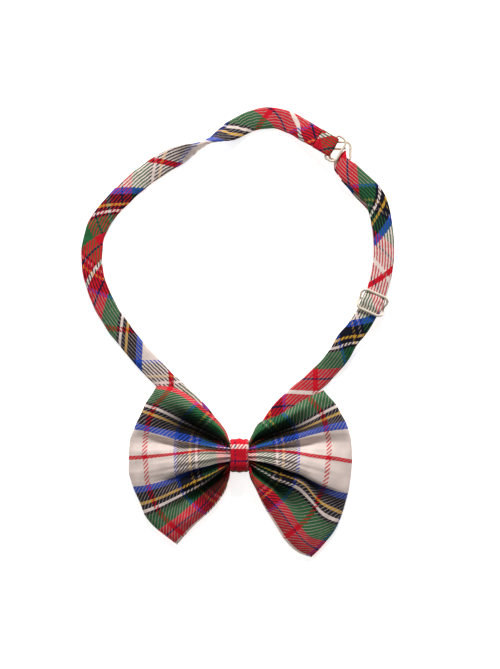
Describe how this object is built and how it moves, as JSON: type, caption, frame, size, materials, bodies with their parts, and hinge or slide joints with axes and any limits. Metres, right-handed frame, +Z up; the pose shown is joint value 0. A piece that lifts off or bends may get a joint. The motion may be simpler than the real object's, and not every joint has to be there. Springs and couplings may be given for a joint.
{
  "type": "bow tie",
  "caption": "Small ready-tied tartan bow tie: pleated bow held by a centre band, narrow neck strap with hook, eye and adjusting slider.",
  "frame": {"origin": "on the surface the tie lies on, under the middle of its outline", "axes": "+Z up out of the front of the bow, +Y from the knot to the clasp, +X to the slider's side"},
  "size_m": [0.1389, 0.2002, 0.0125],
  "materials": {
    "tartan": "brushed 2/2 twill check in red, cream, blue, black, yellow, white and green",
    "interlining": "matt felt",
    "thread": "twisted cotton",
    "enamel": "cream coated wire"
  },
  "bodies": {
    "bow": {"bow_front_panel": "tartan", "bow_back_panel": "tartan", "bow_stiffener": "interlining", "gathering_thread": "thread", "knot_band": "tartan", "knot_stitches": "thread", "strap_left": "tartan", "strap_left_interlining": "interlining", "strap_right": "tartan", "strap_right_interlining": "interlining", "strap_return": "tartan"},
    "slider": {"slider": "enamel", "slider_fold": "tartan", "slider_bartack": "thread"},
    "eye": {"eye_ring": "enamel"},
    "hook": {"hook": "enamel", "hook_fold": "tartan", "hook_bartack": "thread"}
  },
  "joints": [
    {"name": "slider_adjust", "type": "hinge", "parent": "bow", "child": "slider", "pos_m": [0.00414, 0.03791, 0.0041], "axis": [0, 0, 1], "range_deg": [-10, 30], "deforming": ["strap_return"]},
    {"name": "hook_release", "type": "slide", "parent": "bow", "child": "hook", "axis": [0.5, 0, 0.866], "range_m": [0, 0.012]},
    {"name": "eye_tilt", "type": "hinge", "parent": "bow", "child": "eye", "pos_m": [0.04554, 0.07701, 0.00195], "axis": [1, 0, 0], "range_deg": [0, 26]}
  ],
  "couplings": [
    {"joint": "eye_tilt", "follows": "hook_release", "rad_per_m": 36.36}
  ]
}
